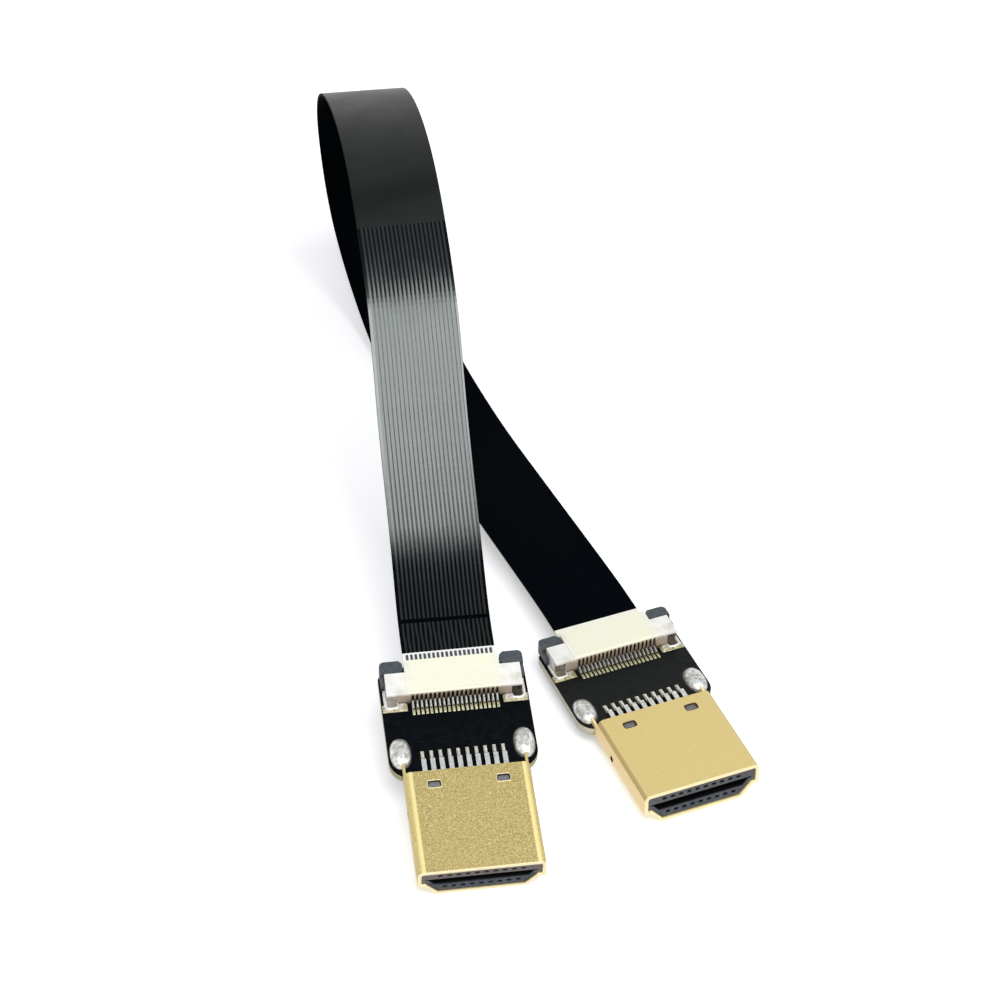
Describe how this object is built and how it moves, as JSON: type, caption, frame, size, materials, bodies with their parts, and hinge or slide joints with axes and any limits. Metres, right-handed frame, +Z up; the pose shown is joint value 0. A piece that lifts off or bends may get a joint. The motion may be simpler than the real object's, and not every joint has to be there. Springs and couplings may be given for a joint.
{
  "type": "flat flex hdmi cable",
  "caption": "Flat flexible video cable: a black ribbon looped between bare metal plugs, each on a small circuit board with a ribbon socket and its sliding lock.",
  "frame": {"origin": "centre of plug B's mating face, on the underside of its shell, which lies on the table", "axes": "+X to the right across plug B, +Y from plug B's mating face towards the ribbon, +Z up"},
  "size_m": [0.0423, 0.1156, 0.0405],
  "materials": {
    "shell_gold": "satin gold plate",
    "insulator_slate": "moulded, matte",
    "contact_tin": "tinned copper alloy",
    "board_black": "black solder mask on glass-fibre board",
    "pad_tin": "tinned",
    "solder_tin": "bright solder",
    "socket_ivory": "moulded, satin",
    "lock_slate": "moulded, matte",
    "jacket_black": "black film over flat conductors",
    "film_white": "plain film",
    "conductor_tin": "tinned flat conductors"
  },
  "bodies": {
    "cable": {"shell_a": "shell_gold", "insulator_a": "insulator_slate", "contact_carrier_a": "insulator_slate", "upper_contacts_a": "contact_tin", "lower_contacts_a": "contact_tin", "circuit_board_a": "board_black", "solder_pads_a": "pad_tin", "leg_solder_a": "solder_tin", "ribbon_socket_a": "socket_ivory", "socket_contacts_a": "contact_tin", "hold_downs_a": "solder_tin", "shell_b": "shell_gold", "insulator_b": "insulator_slate", "contact_carrier_b": "insulator_slate", "upper_contacts_b": "contact_tin", "lower_contacts_b": "contact_tin", "circuit_board_b": "board_black", "solder_pads_b": "pad_tin", "leg_solder_b": "solder_tin", "ribbon_socket_b": "socket_ivory", "socket_contacts_b": "contact_tin", "hold_downs_b": "solder_tin", "ribbon_jacket": "jacket_black", "ribbon_end_a": "film_white", "ribbon_end_b": "film_white", "conductors_a": "conductor_tin", "conductors_b": "conductor_tin"},
    "lock_a": {"sliding_lock_a": "lock_slate"},
    "lock_b": {"sliding_lock_b": "lock_slate"}
  },
  "joints": [
    {"name": "lock_a_slide", "type": "slide", "parent": "cable", "child": "lock_a", "axis": [0.242, 0.9492, 0.2011], "range_m": [0, 0.001]},
    {"name": "lock_b_slide", "type": "slide", "parent": "cable", "child": "lock_b", "axis": [0, 1, 0], "range_m": [0, 0.001]}
  ]
}
